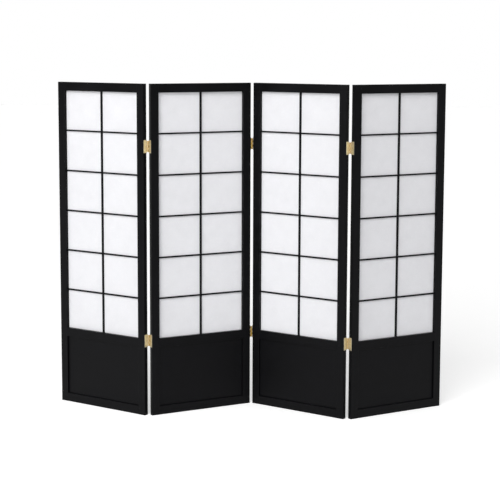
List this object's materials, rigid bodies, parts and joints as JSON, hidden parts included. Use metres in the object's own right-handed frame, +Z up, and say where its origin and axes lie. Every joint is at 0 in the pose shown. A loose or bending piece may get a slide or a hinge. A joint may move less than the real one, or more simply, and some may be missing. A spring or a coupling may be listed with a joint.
{
  "type": "shoji folding screen",
  "caption": "Free-standing folding room screen of hinged black wood frames, each with a square lattice over white paper and a solid kick panel below.",
  "frame": {"origin": "on the floor, under the middle of the screen's box as it stands", "axes": "+X from the left edge to the right edge, +Y from the viewer's side to the back, +Z up"},
  "size_m": [1.5658, 0.2628, 1.32],
  "materials": {
    "frame_lacquer": "satin black lacquer on solid wood",
    "kick_panel_lacquer": "satin black lacquer on plywood",
    "lattice_lacquer": "satin black lacquer on thin wood bars",
    "bead_lacquer": "satin black lacquer on wood beads",
    "washi_paper": "matt white fibre paper",
    "hinge_brass": "brass-plated, lightly brushed",
    "pin_brass": "turned and brass-plated",
    "screw_brass": "brass-plated screw"
  },
  "bodies": {
    "panel_1": {"panel_1_bottom_rail": "frame_lacquer", "panel_1_centre_bar": "lattice_lacquer", "panel_1_cross_bars": "lattice_lacquer", "panel_1_hinge_screws": "screw_brass", "panel_1_kick_panel": "kick_panel_lacquer", "panel_1_left_stile": "frame_lacquer", "panel_1_mid_rail": "frame_lacquer", "panel_1_paper": "washi_paper", "panel_1_paper_beads": "bead_lacquer", "panel_1_right_stile": "frame_lacquer", "panel_1_top_rail": "frame_lacquer", "hinge_1_lower_left_leaf": "hinge_brass", "hinge_1_pins": "pin_brass", "hinge_1_upper_left_leaf": "hinge_brass"},
    "panel_2": {"panel_2_bottom_rail": "frame_lacquer", "panel_2_centre_bar": "lattice_lacquer", "panel_2_cross_bars": "lattice_lacquer", "panel_2_hinge_screws": "screw_brass", "panel_2_kick_panel": "kick_panel_lacquer", "panel_2_left_stile": "frame_lacquer", "panel_2_mid_rail": "frame_lacquer", "panel_2_paper": "washi_paper", "panel_2_paper_beads": "bead_lacquer", "panel_2_right_stile": "frame_lacquer", "panel_2_top_rail": "frame_lacquer", "hinge_1_lower_right_leaf": "hinge_brass", "hinge_1_upper_right_leaf": "hinge_brass", "hinge_2_lower_left_leaf": "hinge_brass", "hinge_2_pins": "pin_brass", "hinge_2_upper_left_leaf": "hinge_brass"},
    "panel_3": {"panel_3_bottom_rail": "frame_lacquer", "panel_3_centre_bar": "lattice_lacquer", "panel_3_cross_bars": "lattice_lacquer", "panel_3_hinge_screws": "screw_brass", "panel_3_kick_panel": "kick_panel_lacquer", "panel_3_left_stile": "frame_lacquer", "panel_3_mid_rail": "frame_lacquer", "panel_3_paper": "washi_paper", "panel_3_paper_beads": "bead_lacquer", "panel_3_right_stile": "frame_lacquer", "panel_3_top_rail": "frame_lacquer", "hinge_2_lower_right_leaf": "hinge_brass", "hinge_2_upper_right_leaf": "hinge_brass", "hinge_3_lower_left_leaf": "hinge_brass", "hinge_3_pins": "pin_brass", "hinge_3_upper_left_leaf": "hinge_brass"},
    "panel_4": {"panel_4_bottom_rail": "frame_lacquer", "panel_4_centre_bar": "lattice_lacquer", "panel_4_cross_bars": "lattice_lacquer", "panel_4_hinge_screws": "screw_brass", "panel_4_kick_panel": "kick_panel_lacquer", "panel_4_left_stile": "frame_lacquer", "panel_4_mid_rail": "frame_lacquer", "panel_4_paper": "washi_paper", "panel_4_paper_beads": "bead_lacquer", "panel_4_right_stile": "frame_lacquer", "panel_4_top_rail": "frame_lacquer", "hinge_3_lower_right_leaf": "hinge_brass", "hinge_3_upper_right_leaf": "hinge_brass"}
  },
  "joints": [
    {"name": "left_fold", "type": "hinge", "parent": "panel_2", "child": "panel_1", "pos_m": [-0.39213, -0.10389, 0], "axis": [0, 0, -1], "range_deg": [-64, 116]},
    {"name": "middle_fold", "type": "hinge", "parent": "panel_2", "child": "panel_3", "pos_m": [0.00582, 0.11068, 0], "axis": [0, 0, -1], "range_deg": [-65, 115]},
    {"name": "right_fold", "type": "hinge", "parent": "panel_3", "child": "panel_4", "pos_m": [0.39807, -0.11414, 0], "axis": [0, 0, 1], "range_deg": [-67, 113]}
  ]
}
